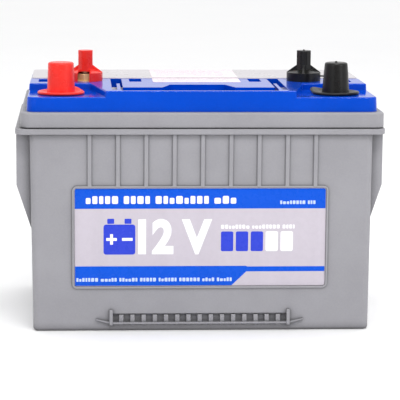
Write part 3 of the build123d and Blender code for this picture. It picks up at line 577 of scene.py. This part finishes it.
def post_cap(name, slot, base, top, offset, tab, seed):
    """Soft tapered cap with a dished brim.

    base and top are its radii, and offset moves it along X from its CAD place, to follow the
    photograph. tab is the angle, reach and rise of the brim's pull tab.
    """
    low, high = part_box(name)
    centre = Vector(((low.x + high.x) / 2 + offset, (low.y + high.y) / 2, low.z))
    brim = (high.x - low.x) / 2
    nib = NIB_HEIGHT if slot == "black_vinyl" else 0.0
    tall = high.z - low.z - nib
    tab_angle, tab_reach, tab_rise = tab
    outer = [
        (brim - 0.0005, 0.0), (brim - 0.0001, 0.0004), (brim, 0.0009), (brim - 0.0001, 0.0015),
        (brim - 0.0006, 0.0020), (brim - 0.0013, 0.0021), (brim - 0.0022, 0.0018),
        (base + 0.0040, 0.0012), (base + 0.0018, 0.0006), (base + 0.0009, 0.0005),
        (base + 0.0003, 0.0009), (base + 0.0001, 0.0020), (base, 0.0036),
        ((base * 2 + top) / 3, 0.0095), ((base + top * 2) / 3, 0.0165),
        (top, tall - 0.0024), (top - 0.0001, tall - 0.0011), (top - 0.0006, tall - 0.0004),
        (top - 0.0014, tall - 0.0001), (top - 0.0026, tall), (top * 0.5, tall - 0.0001),
    ]
    if nib:
        outer += [(0.0012, tall - 0.0001), (0.0009, tall + 0.0005), (0.0005, tall + nib)]
    outer.append((0.0002, tall + nib - 0.00005))
    inner = [
        (0.0002, tall - 0.0013), (top - CAP_WALL, tall - 0.0016), (base - CAP_WALL, 0.003),
        (base - CAP_WALL, 0.0), (base + 0.001, 0.0),
    ]
    root, rise_power, reach_power, least_radius = 0.0008, 1.4, 2, 0.004

    def shift(spot, angle):
        radius = math.hypot(spot.x, spot.y)
        out = max(0.0, (radius - base - root) / (brim - base - root))
        turn = (angle - tab_angle + math.pi) % (2 * math.pi) - math.pi
        lobe = math.exp(-(turn / TAB_WIDTH) ** 2)
        wave = 0.5 + 0.5 * math.cos(2.0 * angle + seed)
        spot.z += out ** rise_power * (tab_rise * lobe + BRIM_WAVE * wave)
        growth = 1 + out ** reach_power * tab_reach * lobe / brim
        wobble = noise.noise(spot * WOBBLE_SCALE + Vector((seed, 0, 0))) * WOBBLE
        growth -= abs(wobble) / max(radius, least_radius)
        spot.x *= growth
        spot.y *= growth
        return spot

    mesh = lathe(outer + inner, centre, CAP_SEGMENTS, shift)
    made = piece(name + "_soft", mesh, MATERIALS[slot], CAP_SMOOTH_ANGLE)
    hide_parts(name)
    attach(made, name)


# ---------------------------------------------------------------- scene
FLOOR_SIZE = 60
SKY_DIRECTION = (0.1, 0.4, 0.9)
SKY_SLOPES = (-0.4, 0.9)
SKY_LEVELS = (0.28, 1.22)
SOFTBOX_TARGET = Vector((0, 0, 0.1))
# Place, width and depth, and power in watts.
SOFTBOXES = {
    "overhead": ((0.1, 0.3, 1.4), (1.6, 0.8), 3),
    "above_front": ((0.15, -1.0, 1.45), (0.7, 0.3), 10),
    "front_right": ((1.3, -1.3, 0.7), (0.5, 0.5), 4),
    "front_left": ((-0.9, -1.3, 0.7), (0.3, 0.4), 2),
}

SENSOR = 36.0
LENS = 165.1
LENS_SHIFT = (0.08, -0.05)
CLIP = (0.05, 60.0)
CAMERA_PLACE = (-0.0889, -1.43198, 0.32525)
CAMERA_YAW, CAMERA_PITCH, CAMERA_ROLL = (math.radians(angle) for angle in (2.735, 8.851, 0.315))


def ground():
    """Plain pale floor."""
    bpy.ops.mesh.primitive_plane_add(size=FLOOR_SIZE, location=(0, 0, 0))
    floor = bpy.context.object
    floor.name = "floor"
    shader = Shader("floor_paint")
    shader.set(
        base_color=shader.mix(shader.noise(3.0, 3.0), srgb(246, 246, 247), srgb(250, 250, 250)),
        roughness=shader.map(shader.noise(40.0, 3.0), 0.3, 0.7, 0.55, 0.65),
        normal=shader.bump(shader.noise(600.0, 2.0), 0.02, 0.0002),
    )
    floor.data.materials.append(shader.material)


def surroundings():
    """White world, brighter overhead and behind than low in front."""
    bpy.context.scene.view_settings.view_transform = "Standard"
    world = bpy.data.worlds.new("studio")
    bpy.context.scene.world = world
    world.use_nodes = True
    tree = world.node_tree
    background = tree.nodes["Background"]
    background.inputs["Color"].default_value = (1.0, 1.0, 1.0, 1.0)
    direction = tree.nodes.new("ShaderNodeTexCoord").outputs["Generated"]
    slope = tree.nodes.new("ShaderNodeVectorMath")
    slope.operation = "DOT_PRODUCT"
    slope.inputs[1].default_value = SKY_DIRECTION
    tree.links.new(direction, slope.inputs[0])
    level = tree.nodes.new("ShaderNodeMapRange")
    level.inputs["From Min"].default_value, level.inputs["From Max"].default_value = SKY_SLOPES
    level.inputs["To Min"].default_value, level.inputs["To Max"].default_value = SKY_LEVELS
    tree.links.new(slope.outputs["Value"], level.inputs["Value"])
    tree.links.new(level.outputs["Result"], background.inputs["Strength"])


def softbox(name, place, size, power):
    """Large soft light that faces the object."""
    data = bpy.data.lights.new(name, "AREA")
    data.shape = "RECTANGLE"
    data.size, data.size_y = size
    data.energy = power
    lamp = bpy.data.objects.new(name, data)
    bpy.context.scene.collection.objects.link(lamp)
    lamp.location = place
    aim = SOFTBOX_TARGET - Vector(place)
    lamp.rotation_euler = aim.to_track_quat("-Z", "Y").to_euler()


def camera():
    """The photograph's view, with a small shift so that other views keep the object in frame."""
    data = bpy.data.cameras.new("camera")
    data.sensor_width = SENSOR
    data.lens = LENS
    data.shift_x, data.shift_y = LENS_SHIFT
    data.clip_start, data.clip_end = CLIP
    made = bpy.data.objects.new("camera", data)
    bpy.context.scene.collection.objects.link(made)
    made.location = CAMERA_PLACE
    turn = Matrix.Rotation(-CAMERA_YAW, 3, "Z")
    tilt = Matrix.Rotation(math.pi / 2 - CAMERA_PITCH, 3, "X")
    made.rotation_euler = (turn @ tilt @ Matrix.Rotation(CAMERA_ROLL, 3, "Z")).to_euler()
    bpy.context.scene.camera = made


paint_cad_nodes()
front_label()
flat_label("top_label", [(0.006, 0.062, 0.006 + 0.004 * k, 0.0012) for k in range(4)], 7)
flat_label("vent_cover_label", [(0.006, 0.060, 0.008 + 0.006 * k, 0.0017) for k in range(8)], 8)
post_cap("positive_post_cap", "red_vinyl", 0.0104, 0.0097, 0.0004, (0.95, 0.0, 0.0022), 3.0)
post_cap("negative_post_cap", "black_vinyl", 0.0102, 0.0087, -0.0009, (2.6, 0.0026, 0.0020), 8.0)
ground()
surroundings()
for name, (place, size, power) in SOFTBOXES.items():
    softbox(name, place, size, power)
camera()
